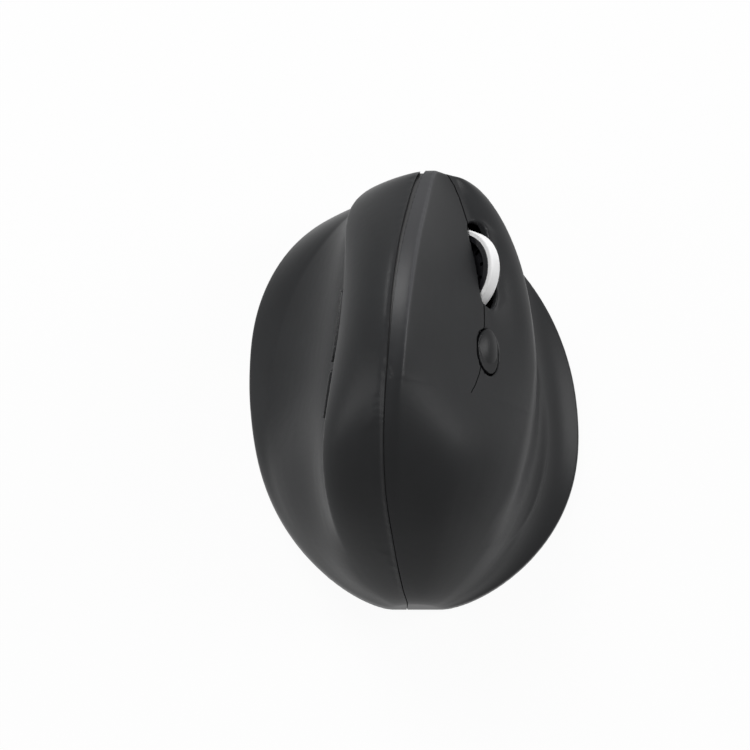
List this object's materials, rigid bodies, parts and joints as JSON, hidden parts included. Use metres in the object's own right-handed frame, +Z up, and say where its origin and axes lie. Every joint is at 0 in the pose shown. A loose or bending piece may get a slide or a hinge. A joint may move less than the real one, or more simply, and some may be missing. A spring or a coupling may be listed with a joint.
{
  "type": "vertical mouse",
  "caption": "Right-handed vertical computer mouse: leaning shell with two finger keys, scroll wheel, thumb buttons and a battery inside",
  "frame": {"origin": "middle of the outline on the desk, under the feet", "axes": "+Y to the nose, where the fingers point; +X to the finger side, away from the thumb; +Z up"},
  "size_m": [0.09, 0.114, 0.065],
  "materials": {
    "shell_plastic": "satin moulded plastic with a fine grain",
    "button_plastic": "satin",
    "white_rubber": "smooth matte",
    "hub_plastic": "polished",
    "inner_plastic": "moulded, lightly sparked",
    "light_plastic": "smooth",
    "glide_plastic": "slippery smooth",
    "cell_skin": "printed film, plain",
    "board_green": "lacquered circuit board",
    "chip_black": "moulded",
    "lens_plastic": "clear plastic",
    "steel": "plain"
  },
  "bodies": {
    "housing": {"back_switch": "chip_black", "base_plate": "inner_plastic", "battery_cell": "cell_skin", "battery_plate": "steel", "battery_spring": "steel", "board_screws": "steel", "controller_chip": "chip_black", "cover_screws": "steel", "door_pin": "steel", "forward_switch": "chip_black", "frame_screws": "steel", "glide_feet": "glide_plastic", "key_cable": "light_plastic", "key_frame": "inner_plastic", "left_switch": "chip_black", "main_board": "board_green", "palm_cover": "shell_plastic", "power_switch": "chip_black", "right_switch": "chip_black", "sensor_chip": "chip_black", "sensor_lens": "lens_plastic", "side_board": "board_green", "side_cable": "light_plastic", "side_screws": "steel", "speed_switch": "chip_black", "switch_board": "board_green", "thumb_cover": "shell_plastic", "wheel_detector": "chip_black", "wheel_emitter": "chip_black", "wheel_pivot_pin": "steel", "wheel_switch": "chip_black"},
    "left_key": {"left_key": "shell_plastic"},
    "right_key": {"right_key": "shell_plastic"},
    "speed_button": {"speed_button": "button_plastic"},
    "forward_button": {"forward_button": "button_plastic"},
    "back_button": {"back_button": "button_plastic"},
    "wheel_cradle": {"wheel_cradle": "light_plastic"},
    "wheel": {"wheel_tyre": "white_rubber", "wheel_hub": "hub_plastic", "wheel_axle": "steel"},
    "left_plunger": {"left_plunger": "light_plastic"},
    "right_plunger": {"right_plunger": "light_plastic"},
    "speed_plunger": {"speed_plunger": "light_plastic"},
    "click_plunger": {"wheel_plunger": "light_plastic"},
    "forward_plunger": {"forward_plunger": "light_plastic"},
    "back_plunger": {"back_plunger": "light_plastic"},
    "power_slider": {"power_slider": "light_plastic"},
    "battery_door": {"battery_door": "inner_plastic"}
  },
  "joints": [
    {"name": "left_key_press", "type": "hinge", "parent": "housing", "child": "left_key", "pos_m": [0.02448, -0.00594, 0.04067], "axis": [-0.6383, 0.0544, 0.7679], "range_deg": [0, 0.6], "stiffness_Nm_per_rad": 1, "springref_deg": -1},
    {"name": "right_key_press", "type": "hinge", "parent": "housing", "child": "right_key", "pos_m": [0.02448, -0.00594, 0.04067], "axis": [-0.6383, 0.0544, 0.7679], "range_deg": [0, 0.6], "stiffness_Nm_per_rad": 1, "springref_deg": -1},
    {"name": "left_plunger_travel", "type": "slide", "parent": "housing", "child": "left_plunger", "axis": [-0.7531, -0.2507, -0.6083], "range_m": [0, 0.000501]},
    {"name": "right_plunger_travel", "type": "slide", "parent": "housing", "child": "right_plunger", "axis": [-0.7531, -0.2507, -0.6083], "range_m": [0, 0.000438]},
    {"name": "speed_button_press", "type": "slide", "parent": "housing", "child": "speed_button", "axis": [-0.7531, -0.2507, -0.6083], "range_m": [0, 0.0006], "stiffness_N_per_m": 600, "springref_m": -0.0008},
    {"name": "speed_plunger_travel", "type": "slide", "parent": "housing", "child": "speed_plunger", "axis": [-0.7531, -0.2507, -0.6083], "range_m": [0, 0.0006]},
    {"name": "forward_button_press", "type": "slide", "parent": "housing", "child": "forward_button", "axis": [1, 0, 0], "range_m": [0, 0.0006], "stiffness_N_per_m": 500, "springref_m": -0.0008},
    {"name": "forward_plunger_travel", "type": "slide", "parent": "housing", "child": "forward_plunger", "axis": [1, 0, 0], "range_m": [0, 0.0006]},
    {"name": "back_button_press", "type": "slide", "parent": "housing", "child": "back_button", "axis": [1, 0, 0], "range_m": [0, 0.0006], "stiffness_N_per_m": 500, "springref_m": -0.0008},
    {"name": "back_plunger_travel", "type": "slide", "parent": "housing", "child": "back_plunger", "axis": [1, 0, 0], "range_m": [0, 0.0006]},
    {"name": "wheel_click", "type": "hinge", "parent": "housing", "child": "wheel_cradle", "pos_m": [0.00937, 0.04425, 0.02455], "axis": [0.6383, -0.0544, -0.7679], "range_deg": [0, 1.2], "stiffness_Nm_per_rad": 1.5, "springref_deg": -1},
    {"name": "click_plunger_travel", "type": "slide", "parent": "housing", "child": "click_plunger", "axis": [-0.7531, -0.2507, -0.6083], "range_m": [0, 0.000719]},
    {"name": "wheel_spin", "type": "hinge", "parent": "wheel_cradle", "child": "wheel", "pos_m": [0.01323, 0.03003, 0.02876], "axis": [-0.6383, 0.0544, 0.7679], "continuous": true},
    {"name": "power_slide", "type": "slide", "parent": "housing", "child": "power_slider", "axis": [1, 0, 0], "range_m": [0, 0.003]},
    {"name": "battery_door_open", "type": "hinge", "parent": "housing", "child": "battery_door", "pos_m": [-0.017, 0.0197, 0.0018], "axis": [1, 0, 0], "range_deg": [0, 30]}
  ],
  "couplings": [
    {"joint": "left_plunger_travel", "follows": "left_key_press", "m_per_rad": 0.044958},
    {"joint": "right_plunger_travel", "follows": "right_key_press", "m_per_rad": 0.038958},
    {"joint": "speed_plunger_travel", "follows": "speed_button_press", "ratio": 1},
    {"joint": "forward_plunger_travel", "follows": "forward_button_press", "ratio": 1},
    {"joint": "back_plunger_travel", "follows": "back_button_press", "ratio": 1},
    {"joint": "click_plunger_travel", "follows": "wheel_click", "m_per_rad": 0.0329}
  ]
}
